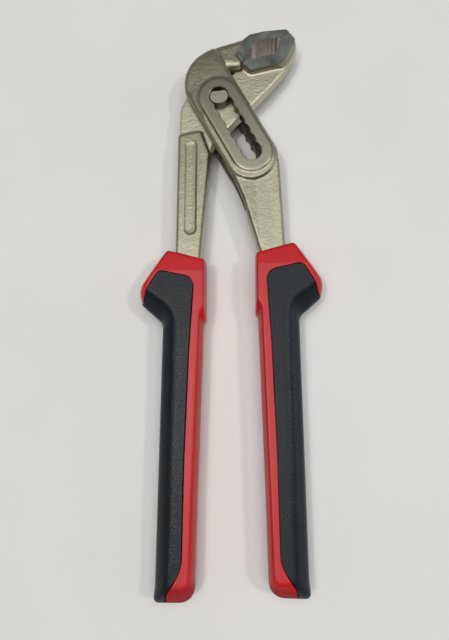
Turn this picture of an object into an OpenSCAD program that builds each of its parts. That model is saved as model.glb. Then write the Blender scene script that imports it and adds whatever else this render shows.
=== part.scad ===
// Water pump pliers with a slotted box joint and two-component grips.
// The shapes are drawn round the pivot, with the middle plane at height 0, and are moved
// at the end so that the origin is under the middle of the tool's bounding box.
// +Y points to the jaws, +Z up, and the tool lies flat.

/* [Slot] */
// Angle between the slot and the length of the tool, degrees
slot_tilt = 29; // [28:0.5:30]
// Number of notches in the slot
notch_count = 7; // [6:1:7]
// Distance between neighbouring notches
notch_pitch = 5.1; // [5:0.05:5.2]
// Radius of one notch
notch_r = 4.4; // [4.35:0.01:4.4]
// Radius of the raised boss round the end notches
boss_r = 8.8; // [8.2:0.1:9.4]

/* [Box] */
// Slot axis to the right edge of the plates
box_right = 10.7; // [10.5:0.1:10.9]
// Slot axis to the left edge of the plates, at the middle of the slot
box_left = 12.3; // [12.1:0.1:12.4]
// Slot axis to the left edge of the box head
head_left = 12.3; // [12.1:0.1:12.4]
// First notch to the top of the box head, along the slot
head_top = 24.3; // [24:0.1:24.8]
// Half the thickness over the bosses
boss_half = 8; // [7.8:0.1:8]
// Half the thickness over the plates
plate_half = 7; // [6.8:0.1:7.2]
// Half the gap between the plates
gap_half = 3.2; // [3.1:0.05:3.3]

/* [Levers] */
// Half the thickness of the inner lever between the plates
web_half = 2.9; // [2.7:0.05:2.95]
// Half the thickness of the jaws
jaw_half = 6; // [5.6:0.1:6.3]
// Half the thickness of the neck behind the upper jaw
neck_half = 4.5; // [4.2:0.1:4.8]
// Half the thickness of the handle arms
arm_half = 4.8; // [4.6:0.1:5]
// Half the thickness of the slotted lever's arm where it leaves the plates
root_half = 6.3; // [6:0.1:6.6]
// Half the thickness of the tangs inside the grips
tang_half = 3.5; // [3.2:0.1:3.6]
// Depth of the long panel on the inner lever's arm
panel_depth = 0.5; // [0.3:0.1:0.7]
// Gap left between the jaws at their tips
jaw_gap = 0.3; // [0.2:0.05:0.4]

/* [Teeth] */
// Number of coarse teeth on each jaw
coarse_teeth = 6; // [5:1:8]
// Depth of the coarse teeth
coarse_depth = 0.9; // [0.6:0.1:1]
// Number of fine teeth at the back of the upper jaw
fine_teeth = 5; // [4:1:8]
// Depth of the fine teeth
fine_depth = 0.7; // [0.4:0.1:0.8]

/* [Pin] */
// Radius of the pivot pin
pin_r = 4.3; // [4.25:0.01:4.33]
// Half the width over the pin's two flats
pin_flat = 3.0; // [2.7:0.1:3.3]
// Half the length of the pin
pin_half = 7.3; // [7:0.1:7.6]
// Opening angle at which the flats line up with the slot, degrees
release_angle = 67; // [64:1:68]
// Largest opening angle, degrees
open_angle = 70; // [69:1:70]

/* [Grips] */
// Length of a grip
grip_l = 146; // [140:1:150]
// Width of a grip's shaft
grip_w = 17.2; // [16.6:0.1:17.8]
// How far the guard stands out from the middle of the grip
guard_out = 19.2; // [18.5:0.1:20]
// Half the thickness of a grip over its soft inlay
grip_half = 8; // [7.8:0.1:8]
// Half the thickness of the hard sleeve
sleeve_half = 7.4; // [7.1:0.1:7.6]
// Half the thickness of the sleeve's core under the inlay
core_half = 5.2; // [5:0.1:5.4]
// Lean of the left grip, degrees
left_lean = 0.5; // [0.3:0.1:0.9]
// Lean of the right grip, degrees
right_lean = 1.7; // [1.4:0.1:2]

/* [Hidden] */
$fn = 96;

steel = [0.62, 0.61, 0.58];
pin_steel = [0.70, 0.70, 0.69];
spring_steel = [0.35, 0.36, 0.38];
hard_red = [0.76, 0.10, 0.12];
soft_black = [0.13, 0.14, 0.15];

cut = 0.1;
reach = 60;
slot_l = (notch_count - 1) * notch_pitch;
plate_end = 12.4;
fit = 0.05;
press = 0.02;

// Collar top on the middle line of each grip
right_collar = [25.45, -67];
left_collar = [-14.4, -70];
tang_end = -190;

// Snap ring and its groove, half in the pin and half in the bore
ring_in = 3.7;
ring_out = 4.9;
ring_half = 0.5;
ring_split = 1.4;
ring_play = 0.1;

// Contact line of the jaws, from its inner end to the tip
contact_in = [28.1, 29.3];
contact_tip = [32.25, 31.85];

function unit(v) = v / norm(v);
function corner(p, r = 0) = [p.x, p.y, r];
function flat(p) = [p.x, p.y];
function turned(p, a) = [p.x * cos(a) - p.y * sin(a), p.x * sin(a) + p.y * cos(a)];

// A place given across the slot and down along it, from the first notch
function at_slot(across, along) = [across * cos(slot_tilt) + along * sin(slot_tilt),
                                   across * sin(slot_tilt) - along * cos(slot_tilt)];

// Points of one rounded corner p between its neighbours a and b
function fillet(a, p, b, r) =
    r == 0 ? [p] :
    let (to_a = unit(a - p),
         to_b = unit(b - p),
         half = acos(to_a * to_b) / 2,
         centre = p + unit(to_a + to_b) * r / sin(half),
         start = p + to_a * r / tan(half) - centre,
         finish = p + to_b * r / tan(half) - centre,
         first = atan2(start.y, start.x),
         raw = atan2(finish.y, finish.x) - first,
         sweep = raw > 180 ? raw - 360 : raw < -180 ? raw + 360 : raw,
         steps = max(2, ceil(abs(sweep) / 7.5)))
    [for (k = [0:steps]) centre + r * [cos(first + sweep * k / steps), sin(first + sweep * k / steps)]];

// An outline of corners [x, y, radius] as points, with every corner rounded
function rounded(c) =
    let (n = len(c))
    [for (i = [0:n - 1]) each fillet(flat(c[(i + n - 1) % n]), flat(c[i]), flat(c[(i + 1) % n]), c[i].z)];

// Outline of a long hole or boss with round ends at a and b
function stadium(a, b, r) =
    let (way = atan2(b.y - a.y, b.x - a.x))
    [for (k = [0:24]) a + r * [cos(way + 90 + 7.5 * k), sin(way + 90 + 7.5 * k)],
     for (k = [0:24]) b + r * [cos(way - 90 + 7.5 * k), sin(way - 90 + 7.5 * k)]];

// Saw teeth from a to b, cut to the left of the way from a to b
function teeth(a, b, count, depth) =
    let (step = (b - a) / count,
         inward = depth * [-unit(b - a).y, unit(b - a).x])
    [for (i = [0:count - 1]) each [corner(a + step * i), corner(a + step * (i + 0.5) + inward)]];

module slab(c, half) {
    translate([0, 0, -half])
        linear_extrude(2 * half)
            polygon(rounded(c));
}

// Side view of an arm and its tang, as a band across the whole width
module side_band(profile) {
    translate([-reach, 0, 0])
        rotate([90, 0, 90])
            linear_extrude(3 * reach)
                polygon(concat(profile, [for (i = [len(profile) - 1:-1:0]) [profile[i].x, -profile[i].y]]));
}

// Slotted lever: head and plates seen from above, with a round lower end
plate_plan = [
    corner(at_slot(box_right, -head_top), 1.5),
    corner(at_slot(-head_left, -head_top), 18),
    corner(at_slot(-box_left - 0.5, slot_l + plate_end), 11),
    corner(at_slot(box_right, slot_l + plate_end), 10)];

// Slotted lever: arm and tang seen from above, starting inside the plates
function slotted_plan(grow = 0) = [
    corner(at_slot(box_right - 1, 12)),
    corner(at_slot(1 - box_left, 12)),
    corner(at_slot(-box_left - 0.6, 46), 45),
    corner([19.4 - grow, -74], 25),
    corner([26.3 - grow, tang_end - grow], 1.5),
    corner([33.5 + grow, tang_end - grow], 1.5),
    corner([29.0 + grow, -73], 40),
    corner(at_slot(box_right - 0.2, 37), 17)];

// Arm thickness of the slotted lever, thinning from the plates to the tang
slotted_side = [[reach, root_half], [-44, root_half], [-69, arm_half], [-78, arm_half],
                [-78, tang_half], [-3.5 * reach, tang_half]];
slotted_socket = [[reach, arm_half + fit], [-78 - fit, arm_half + fit], [-78 - fit, tang_half + fit],
                  [-3.5 * reach, tang_half + fit]];

// The space between the plates, open at both sides
ceiling = 16.0;
floor_left = [-30, -60.2];
floor_right = [reach, -39.6];
passage = [corner([-30, ceiling]), corner([reach, ceiling]), corner(floor_right), corner(floor_left)];

contact_normal = [-unit(contact_tip - contact_in).y, unit(contact_tip - contact_in).x];
upper_contact_in = contact_in + contact_normal * jaw_gap / 2;
upper_contact_tip = contact_tip + contact_normal * jaw_gap / 2;
lower_contact_in = contact_in - contact_normal * jaw_gap / 2;
lower_contact_tip = contact_tip - contact_normal * jaw_gap / 2;
jaw_top = 33.7;

neck_plan = [corner([-4, 18]), corner([-2.2, 27.7], 1), corner([12.4, 32.0]), corner([15, 26]),
             corner([9.3, 16.2], 0.6), corner([3, 16.2])];

upper_jaw_plan = concat(
    [corner(upper_contact_tip, 0.3),
     corner([30.7, jaw_top], 0.8),
     corner([20, jaw_top - 0.7], 25),
     corner([13.8, 31.5], 3),
     corner([11.2, 29.4], 0.8),
     corner([7.2, 22.1], 0.8),
     corner([10, 18.3], 0.4)],
    teeth([10.8, 18.6], [15.9, 26.4], fine_teeth, fine_depth),
    [corner([16.2, 27.4])],
    teeth([16.6, 27.6], upper_contact_in - [0.6, 0.1], coarse_teeth, coarse_depth),
    [corner(upper_contact_in)]);

lower_jaw_plan = concat(
    [corner(lower_contact_tip, 0.3),
     corner(lower_contact_in, 0.3),
     corner([26.3, 22.8], 0.8)],
    teeth([25.4, 22.0], [13.6, 19.0], coarse_teeth, coarse_depth),
    [corner([13.0, 18.9]),
     corner([11.1, 17.9], 0.5),
     corner([11.2, 16.5], 0.8),
     corner([14.4, 13.7], 1.5),
     corner([29.5, 17.1], 2.5),
     corner([31.6, 20.6], 6),
     corner([34.7, 28.6], 1)]);

// Inner lever: flat web between the plates, arm and tang seen from above
function inner_plan(grow = 0) = [
    corner([10.9, 17.0]),
    corner([28.5, 18.0]),
    corner([30.2, 15.0], 1.5),
    corner([-3.0, -19.6], 2),
    corner([-4.5, -25.0], 3),
    corner([-8.1 + grow, -74], 30),
    corner([-11.9 + grow, tang_end - grow], 1.5),
    corner([-19.3 - grow, tang_end - grow], 1.5),
    corner([-18.1 - grow, -74], 30),
    corner([-18.0, -4.4], 6),
    corner([-14.9, 2.6], 4),
    corner([-3, 8.6]),
    corner([1.6, 9.6]),
    corner([7.2, 15.2]),
    corner([9.4, 15.4])];
hub_r = 9.2;

// The thick part of the arm stops on a line that meets the plates' left edge at full opening
stop_gap = 0.8;
stop_side = 180 + slot_tilt + open_angle;
stop_out = [cos(stop_side), sin(stop_side)];
stop_along = [-stop_out.y, stop_out.x];
stop_mid = stop_out * (box_left + stop_gap);
thick_plan = [corner(stop_mid - stop_along * 10.1, 1), corner(stop_mid - stop_along * 40),
              corner([-40, -3.5 * reach]), corner([0, -3.5 * reach]), corner([0, -40]),
              corner([-4.2, -25.6])];

inner_side = [[reach, arm_half], [-81, arm_half], [-81, tang_half], [-3.5 * reach, tang_half]];
inner_socket = [[reach, arm_half + fit], [-81 - fit, arm_half + fit], [-81 - fit, tang_half + fit],
                [-3.5 * reach, tang_half + fit]];

// Long plain panel on the inner lever's arm
panel_top = [-12.4, -22.5];
panel_end = [-12.2, -61.5];
panel_r = 2.6;

// Grip outline: first number outwards from its middle line, second upwards from the collar top
grip_plan = [
    corner([7.6, -0.5], 3),
    corner([guard_out + 0.4, -17.4], 9),
    corner([guard_out - 0.5, -25.6], 1.6),
    corner([9.6, -32.2], 9),
    corner([grip_w / 2 - 0.3, -139], 30),
    corner([grip_w / 2 + 0.3, -grip_l], 3),
    corner([-grip_w / 2 + 0.4, -grip_l], 5),
    corner([-grip_w / 2 + 0.2, -110], 40),
    corner([-grip_w / 2 - 0.3, -34.4], 1.5),
    corner([-10.2, -31.8], 1.5),
    corner([-9.5, -4.9], 2)];

// Area of the soft inlay, open towards the outer side of the grip
inlay_plan = [
    corner([10.0, -10.6], 2),
    corner([18.7, -25.8]),
    corner([40, -31]),
    corner([40, 8 - grip_l]),
    corner([20, -grip_l - 12]),
    corner([grip_w / 2 - 1.6, -grip_l]),
    corner([-3.7, 12.5 - grip_l], 12),
    corner([-4.7, -14.4], 4.5)];

// Core of the hard sleeve that the inlay is moulded round, reaching up past the inlay
core_plan = [
    corner([5.6, -8.5]),
    corner([9.0, -15.5], 2),
    corner([13.8, -22.6], 1.5),
    corner([7.4, -29], 7),
    corner([grip_w / 2 - 3, -40], 10),
    corner([grip_w / 2 - 3.2, 7.5 - grip_l], 2),
    corner([-6, 9 - grip_l]),
    corner([-6, -8.5])];

// Rounding of a grip's edges: where the rounded sections would end, and their radii
inner_limit = -10.3;
inner_edge_r = 4.5;
guard_limit = 20.4;
guard_edge_r = 5;
shaft_limit = 9.6;
shaft_edge_r = 7;
guard_foot = -32;
grip_end_r = 4.5;

function on_right(p) = right_collar + turned(p, right_lean);
function on_left(p) = left_collar + turned([-p.x, p.y], -left_lean);
right_points = [for (p = rounded(grip_plan)) on_right(p)];
left_points = [for (p = rounded(grip_plan)) on_left(p)];
x_low = min([for (p = left_points) p.x]);
x_high = max([for (p = right_points) p.x]);
y_low = min([for (p = left_points) p.y]);
y_high = max([for (p = rounded(upper_jaw_plan)) p.y]);
pivot = [-(x_low + x_high) / 2, -(y_low + y_high) / 2, boss_half];

module place_right() {
    translate([right_collar.x, right_collar.y, 0])
        rotate(right_lean)
            children();
}

module place_left() {
    translate([left_collar.x, left_collar.y, 0])
        rotate(-left_lean)
            mirror([1, 0, 0])
                children();
}

// A run of overlapping round columns along the slot
module notches(r, half) {
    for (i = [0:notch_count - 1]) {
        p = at_slot(0, i * notch_pitch);
        translate([p.x, p.y, -half])
            cylinder(r = r, h = 2 * half);
    }
}

module boss() {
    translate([0, 0, -boss_half])
        linear_extrude(2 * boss_half)
            polygon(stadium([0, 0], at_slot(0, slot_l), boss_r));
}

module slotted_lever() {
    color(steel) translate(pivot) {
        difference() {
            union() {
                slab(plate_plan, plate_half);
                intersection() {
                    slab(slotted_plan(), plate_half);
                    side_band(slotted_side);
                }
                boss();
                slab(neck_plan, neck_half);
                slab(upper_jaw_plan, jaw_half);
            }
            slab(passage, gap_half);
            notches(notch_r, boss_half + cut);
        }
    }
}

module panel() {
    translate([0, 0, arm_half - panel_depth])
        linear_extrude(2 * panel_depth)
            polygon(stadium(panel_top, panel_end, panel_r));
}

module inner_lever() {
    color(steel) translate(pivot) {
        difference() {
            union() {
                slab(inner_plan(), web_half);
                translate([0, 0, -web_half])
                    cylinder(r = hub_r, h = 2 * web_half);
                slab(lower_jaw_plan, jaw_half);
                intersection() {
                    slab(inner_plan(), arm_half);
                    slab(thick_plan, arm_half + cut);
                    side_band(inner_side);
                }
            }
            translate([0, 0, -web_half - cut])
                cylinder(r = pin_r + press, h = 2 * (web_half + cut));
            translate([0, 0, -ring_half - ring_play])
                cylinder(r = ring_out + ring_play, h = 2 * (ring_half + ring_play));
            panel();
            mirror([0, 0, 1])
                panel();
        }
    }
}

module pivot_pin() {
    color(pin_steel) translate(pivot) {
        difference() {
            union() {
                translate([0, 0, -web_half])
                    cylinder(r = pin_r, h = 2 * web_half);
                intersection() {
                    translate([0, 0, -pin_half])
                        cylinder(r = pin_r, h = 2 * pin_half);
                    rotate(release_angle + slot_tilt)
                        cube([2 * pin_flat, 4 * pin_r, 2 * pin_half], center = true);
                }
            }
            difference() {
                translate([0, 0, -ring_half - ring_play])
                    cylinder(r = pin_r + cut, h = 2 * (ring_half + ring_play));
                translate([0, 0, -ring_half - 2 * ring_play])
                    cylinder(r = ring_in - ring_play, h = 2 * (ring_half + 2 * ring_play));
            }
        }
    }
}

module pin_snap_ring() {
    color(spring_steel) translate(pivot) {
        difference() {
            translate([0, 0, -ring_half])
                cylinder(r = ring_out, h = 2 * ring_half);
            translate([0, 0, -ring_half - cut])
                cylinder(r = ring_in, h = 2 * (ring_half + cut));
            translate([0, -ring_split / 2, -ring_half - cut])
                cube([2 * ring_out, ring_split, 2 * (ring_half + cut)]);
        }
    }
}

// Grip section across its length, between two heights, with round edges
module grip_section(half, outer, outer_r, low, high) {
    translate([0, high, 0])
        rotate([90, 0, 0])
            linear_extrude(high - low)
                polygon(rounded([corner([inner_limit, -half], inner_edge_r), corner([outer, -half], outer_r),
                                 corner([outer, half], outer_r), corner([inner_limit, half], inner_edge_r)]));
}

// Side view of a grip with a round lower end, as a band across the whole width
module grip_band(half) {
    translate([-reach, 0, 0])
        rotate([90, 0, 90])
            linear_extrude(2 * reach)
                polygon(rounded([corner([-grip_l, -half], grip_end_r), corner([cut, -half]),
                                 corner([cut, half]), corner([-grip_l, half], grip_end_r)]));
}

// Hard sleeve of a grip, before the hole for the arm and tang
module sleeve_blank() {
    difference() {
        intersection() {
            slab(grip_plan, sleeve_half + cut);
            grip_section(sleeve_half, guard_limit, guard_edge_r, -grip_l - cut, cut);
            grip_band(sleeve_half);
        }
        slab(inlay_plan, grip_half + cut);
    }
    slab(core_plan, core_half);
}

module inlay_blank() {
    difference() {
        intersection() {
            slab(grip_plan, grip_half + cut);
            slab(inlay_plan, grip_half + 2 * cut);
            union() {
                grip_section(grip_half, guard_limit, guard_edge_r, guard_foot, cut);
                grip_section(grip_half, shaft_limit, shaft_edge_r, -grip_l - cut, guard_foot);
            }
            grip_band(grip_half);
        }
        slab(core_plan, core_half);
    }
}

module right_grip_sleeve() {
    color(hard_red) translate(pivot) {
        difference() {
            place_right() sleeve_blank();
            intersection() {
                slab(slotted_plan(fit), plate_half);
                side_band(slotted_socket);
            }
        }
    }
}

module right_grip_inlay() {
    color(soft_black) translate(pivot)
        place_right() inlay_blank();
}

module left_grip_sleeve() {
    color(hard_red) translate(pivot) {
        difference() {
            place_left() sleeve_blank();
            intersection() {
                slab(inner_plan(fit), plate_half);
                side_band(inner_socket);
            }
        }
    }
}

module left_grip_inlay() {
    color(soft_black) translate(pivot)
        place_left() inlay_blank();
}

slotted_lever();
inner_lever();
pivot_pin();
pin_snap_ring();
right_grip_sleeve();
right_grip_inlay();
left_grip_sleeve();
left_grip_inlay();
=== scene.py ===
from math import acos, atan2, ceil, cos, pi, radians, sin, sqrt, tan

import bpy
from mathutils import Matrix, Vector


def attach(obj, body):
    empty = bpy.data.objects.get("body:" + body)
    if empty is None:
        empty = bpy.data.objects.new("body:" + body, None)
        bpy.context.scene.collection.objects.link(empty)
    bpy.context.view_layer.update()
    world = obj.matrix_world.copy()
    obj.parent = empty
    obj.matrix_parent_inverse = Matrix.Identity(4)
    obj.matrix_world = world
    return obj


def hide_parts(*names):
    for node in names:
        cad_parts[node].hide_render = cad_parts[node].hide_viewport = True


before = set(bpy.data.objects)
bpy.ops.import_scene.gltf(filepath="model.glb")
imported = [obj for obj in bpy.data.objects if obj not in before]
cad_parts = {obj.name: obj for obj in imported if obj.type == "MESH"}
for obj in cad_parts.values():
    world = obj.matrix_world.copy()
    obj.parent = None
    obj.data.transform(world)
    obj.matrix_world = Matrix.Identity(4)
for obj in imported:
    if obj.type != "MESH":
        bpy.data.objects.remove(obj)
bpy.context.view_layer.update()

# Sizes are in millimetres round the pivot, as the tool was measured: x to the right grip,
# y to the jaws, z up from the parting plane of the forgings. Pieces move to PIVOT at the end.
MM = 0.001
PIVOT = Vector((-5.72752, 91.1741, 8.0)) * MM

SLOT_TILT = radians(29)
NOTCHES = 7
NOTCH_PITCH = 5.1
NOTCH_R = 4.4
SLOT_LENGTH = (NOTCHES - 1) * NOTCH_PITCH

# Grids on which blanks are fused, and passes of smoothing after it
STEEL_VOXEL, STEEL_PASSES = 0.36, 6
GRIP_VOXEL, GRIP_PASSES = 0.42, 4

# Length under which an edge is a sliver, reach within which two heights count as one, and half height of
# a tool that cuts all the way through
SLIVER = 0.004
NEAR = 0.01
THROUGH = 9

# Degrees to a step of an arc, steps of a forged and of a moulded corner, of a notch and of a full round
ARC_STEP = 7.5
FORGED_ARC, MOULDED_ARC = 6, 8
NOTCH_STEPS = 12
ROUND_STEPS = 72

# Angle past which an edge stays sharp, and how far a mitred corner may run out
CREASE = radians(32)
MITRE_LIMIT = 0.3


# Outlines

def along_slot(across, down):
    """A place given across the slot and down along it from the first notch."""
    return (across * cos(SLOT_TILT) + down * sin(SLOT_TILT),
            across * sin(SLOT_TILT) - down * cos(SLOT_TILT))


def drawn_in(corners, by):
    """Corners (x, y, radius) of an outline moved inwards by a distance."""
    moved = []
    turn = 1 if spin(corners) > 0 else -1
    for i, (x, y, *radius) in enumerate(corners):
        here = Vector((x, y))
        way_in = (here - Vector(corners[i - 1][:2])).normalized()
        way_out = (Vector(corners[(i + 1) % len(corners)][:2]) - here).normalized()
        side_a = turn * Vector((-way_in.y, way_in.x))
        side_b = turn * Vector((-way_out.y, way_out.x))
        here += (side_a + side_b) * (by / (1 + side_a.dot(side_b)))
        convex = turn * way_in.cross(way_out) > 0
        r = radius[0] if radius else 0
        moved.append((here.x, here.y, max(0, r - by) if convex else r + by if r else 0))
    return moved


def spin(corners):
    """Twice the area inside an outline, negative if it runs clockwise."""
    return sum(corners[i - 1][0] * c[1] - corners[i - 1][1] * c[0] for i, c in enumerate(corners))


def rounded(corners, arc=None):
    """Outline points, counterclockwise, from corners (x, y, radius); arc fixes the steps of every corner."""
    points = []
    count = len(corners)
    for i, (x, y, *radius) in enumerate(corners):
        here = Vector((x, y))
        r = radius[0] if radius else 0
        if r == 0:
            points += [here] * (1 if arc is None else arc + 1)
            continue
        to_last = (Vector(corners[i - 1][:2]) - here).normalized()
        to_next = (Vector(corners[(i + 1) % count][:2]) - here).normalized()
        half = acos(max(-1, min(1, to_last.dot(to_next)))) / 2
        centre = here + (to_last + to_next).normalized() * (r / sin(half))
        start = here + to_last * (r / tan(half)) - centre
        end = here + to_next * (r / tan(half)) - centre
        first = atan2(start.y, start.x)
        sweep = (atan2(end.y, end.x) - first + pi) % (2 * pi) - pi
        steps = arc or max(2, ceil(abs(sweep) / radians(ARC_STEP)))
        points += [centre + r * Vector((cos(first + sweep * k / steps), sin(first + sweep * k / steps)))
                   for k in range(steps + 1)]
    return points if spin(points) > 0 else points[::-1]


def widened(points, by):
    """An outline moved outwards by a distance."""
    moved = []
    for i, here in enumerate(points):
        to_here = (here - points[i - 1]).normalized()
        to_next = (points[(i + 1) % len(points)] - here).normalized()
        side_a = Vector((to_here.y, -to_here.x))
        side_b = Vector((to_next.y, -to_next.x))
        moved.append(here + (side_a + side_b) * (by / max(MITRE_LIMIT, 1 + side_a.dot(side_b))))
    return moved


def stadium(a, b, r):
    """Outline of a long shape with round ends at a and b."""
    way = atan2(b[1] - a[1], b[0] - a[0])
    turns = [radians(ARC_STEP * k) for k in range(int(180 / ARC_STEP) + 1)]
    return ([Vector(a) + r * Vector((cos(way + pi / 2 + t), sin(way + pi / 2 + t))) for t in turns]
            + [Vector(b) + r * Vector((cos(way - pi / 2 + t), sin(way - pi / 2 + t))) for t in turns])


def saw_teeth(a, b, count, depth, tip, root):
    """Corners of rounded saw teeth from a to b, cut to the left of the way."""
    a, b = Vector(a), Vector(b)
    step = (b - a) / count
    inward = depth * Vector((-step.y, step.x)).normalized()
    corners = []
    for i in range(count):
        corners += [(*(a + step * i), tip), (*(a + step * (i + 0.5) + inward), root)]
    return corners


def slot_outline(r):
    """Outline of the run of overlapping round notches."""
    reach = atan2(sqrt(r * r - NOTCH_PITCH ** 2 / 4), NOTCH_PITCH / 2)
    right = []
    for i in range(NOTCHES):
        first = 0 if i == 0 else reach
        last = pi if i == NOTCHES - 1 else pi - reach
        turns = [first + (last - first) * k / NOTCH_STEPS for k in range(NOTCH_STEPS)]
        right += [(r * sin(turn), i * NOTCH_PITCH - r * cos(turn)) for turn in turns]
    left = [(-across, SLOT_LENGTH - down) for across, down in right]
    return [Vector(along_slot(*place)) for place in right + left][::-1]


def disc(r):
    """Outline of a round."""
    turns = [2 * pi * k / ROUND_STEPS for k in range(ROUND_STEPS)]
    return [r * Vector((cos(turn), sin(turn))) for turn in turns]


# Modelling steps

def only(piece):
    """Makes one piece the only one that operators act on."""
    bpy.ops.object.select_all(action="DESELECT")
    piece.select_set(True)
    bpy.context.view_layer.objects.active = piece


def finished_with(piece, kind, **settings):
    """Adds a modifier to a piece and applies it."""
    only(piece)
    modifier = piece.modifiers.new(kind.lower(), kind)
    for name, value in settings.items():
        setattr(modifier, name, value)
    bpy.ops.object.modifier_apply(modifier=modifier.name)


def mirrored_down(piece):
    """Mirrors a half made above the parting plane to below it."""
    finished_with(piece, "MIRROR", use_axis=(False, False, True), merge_threshold=2 * NEAR * MM)


def closed_base(piece):
    """Closes the open edge of a half that isn't mirrored."""
    only(piece)
    bpy.ops.object.mode_set(mode="EDIT")
    bpy.ops.mesh.select_mode(type="EDGE")
    bpy.ops.mesh.select_all(action="DESELECT")
    bpy.ops.mesh.select_non_manifold()
    bpy.ops.mesh.edge_face_add()
    bpy.ops.mesh.select_all(action="SELECT")
    bpy.ops.mesh.normals_make_consistent(inside=False)
    bpy.ops.object.mode_set(mode="OBJECT")


def blank(name, outline, steps, base=0.0, mirrored=True):
    """A die-forged blank: an outline at the parting plane, drawn in and up by steps, and mirrored down."""
    bpy.ops.object.select_all(action="DESELECT")
    bpy.ops.mesh.primitive_circle_add(vertices=len(outline), radius=MM, fill_type="NGON")
    piece = bpy.context.object
    piece.name = name
    for vertex, place in zip(piece.data.vertices, outline):
        vertex.co = Vector((place.x, place.y, base)) * MM
    bpy.ops.object.mode_set(mode="EDIT")
    bpy.ops.mesh.select_mode(type="FACE")
    bpy.ops.mesh.select_all(action="SELECT")
    for inwards, upwards in steps:
        bpy.ops.mesh.inset(thickness=inwards * MM, depth=upwards * MM)
    bpy.ops.object.mode_set(mode="OBJECT")
    if mirrored:
        mirrored_down(piece)
    else:
        closed_base(piece)
    return piece


def loft(name, rings):
    """A skin wrapped round rings of points, closed on top and mirrored down."""
    bpy.ops.object.select_all(action="DESELECT")
    across = len(rings[0])
    bpy.ops.mesh.primitive_grid_add(x_subdivisions=across, y_subdivisions=len(rings) - 1, size=MM)
    piece = bpy.context.object
    piece.name = name
    for i, vertex in enumerate(piece.data.vertices):
        row, column = divmod(i, across + 1)
        vertex.co = rings[row][column % across] * MM
    bpy.ops.object.mode_set(mode="EDIT")
    bpy.ops.mesh.select_mode(type="VERT")
    bpy.ops.mesh.select_all(action="SELECT")
    bpy.ops.mesh.remove_doubles(threshold=SLIVER / 2 * MM)
    bpy.ops.object.mode_set(mode="OBJECT")
    top = max(v.co.z for v in piece.data.vertices)
    bpy.ops.object.mode_set(mode="EDIT")
    bpy.ops.mesh.select_mode(type="EDGE")
    bpy.ops.mesh.select_all(action="DESELECT")
    bpy.ops.object.mode_set(mode="OBJECT")
    for edge in piece.data.edges:
        edge.select = all(piece.data.vertices[v].co.z > top - NEAR * MM for v in edge.vertices)
    bpy.ops.object.mode_set(mode="EDIT")
    bpy.ops.mesh.edge_face_add()
    bpy.ops.object.mode_set(mode="OBJECT")
    mirrored_down(piece)
    only(piece)
    bpy.ops.object.mode_set(mode="EDIT")
    bpy.ops.mesh.select_all(action="SELECT")
    bpy.ops.mesh.normals_make_consistent(inside=False)
    bpy.ops.object.mode_set(mode="OBJECT")
    return piece


def forged(name, edge, top, half, profile):
    """A drop-forged blank from corners at the parting plane and on the flat, with a profile (share, height)."""
    edge, top = rounded(edge, FORGED_ARC), rounded(top, FORGED_ARC)
    return loft(name, [[Vector((*e.lerp(t, share), half * height)) for e, t in zip(edge, top)]
                       for share, height in profile])


def joined(name, pieces):
    """Joins pieces into the first of them."""
    only(pieces[0])
    for piece in pieces:
        piece.select_set(True)
    bpy.ops.object.join()
    pieces[0].name = name
    pieces[0].data.name = name
    return pieces[0]


def fused(piece, voxel, smoothing):
    """Fuses overlapping blanks into one skin and softens its edges, as a die does."""
    finished_with(piece, "REMESH", mode="VOXEL", voxel_size=voxel * MM, adaptivity=0)
    finished_with(piece, "SMOOTH", factor=0.5, iterations=smoothing)
    return piece


LUMP_SIZE, LUMP_HEIGHT = 2.4, 0.05
GROUND_FADE = 0.6
UNGROUND = 20.0
SCALE_MARKS = bpy.data.textures.new("scale_marks", "CLOUDS")
SCALE_MARKS.noise_scale = LUMP_SIZE * MM
SCALE_MARKS.noise_depth = 1


def scaled(piece, ground=UNGROUND):
    """Gives a forging the shallow lumps that scale leaves under the die, up to the height where it is ground."""
    skin = piece.vertex_groups.new(name="skin")
    for vertex in piece.data.vertices:
        weight = (ground - abs(vertex.co.z) / MM) / GROUND_FADE
        skin.add([vertex.index], min(1, max(0, weight)), "REPLACE")
    finished_with(piece, "DISPLACE", texture=SCALE_MARKS, texture_coords="LOCAL", strength=LUMP_HEIGHT * MM,
                  mid_level=0.5, vertex_group="skin")


def machined(piece, tool, operation="DIFFERENCE"):
    """Cuts a piece with a tool, or joins the two, or keeps what they share, and puts the tool away."""
    for body in (piece, tool):
        finished_with(body, "TRIANGULATE")
    finished_with(piece, "BOOLEAN", operation=operation, object=tool, solver="MANIFOLD")
    bpy.data.objects.remove(tool)
    return piece


def cleaned(piece):
    """Merges the slivers that cutting leaves, and takes out single faces left inside the skin."""
    finished_with(piece, "TRIANGULATE")
    bpy.ops.object.mode_set(mode="EDIT")
    bpy.ops.mesh.select_mode(type="VERT")
    bpy.ops.mesh.select_all(action="SELECT")
    bpy.ops.mesh.remove_doubles(threshold=SLIVER * MM)
    bpy.ops.mesh.dissolve_degenerate(threshold=SLIVER * MM)
    bpy.ops.mesh.quads_convert_to_tris()
    bpy.ops.mesh.select_mode(type="FACE")
    bpy.ops.mesh.select_all(action="DESELECT")
    bpy.ops.mesh.select_interior_faces()
    bpy.ops.mesh.delete(type="ONLY_FACE")
    bpy.ops.mesh.select_all(action="SELECT")
    bpy.ops.mesh.delete_loose()
    bpy.ops.object.mode_set(mode="OBJECT")


def set_in_place(piece, body, slot, *nodes):
    """Moves a finished piece from the pivot to the tool's own frame and ties it to its body."""
    cleaned(piece)
    piece.location = PIVOT
    bpy.ops.object.transform_apply(location=True, rotation=True, scale=True)
    bpy.ops.object.shade_smooth_by_angle(angle=CREASE)
    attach(piece, body)
    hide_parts(*nodes)


# Materials

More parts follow.
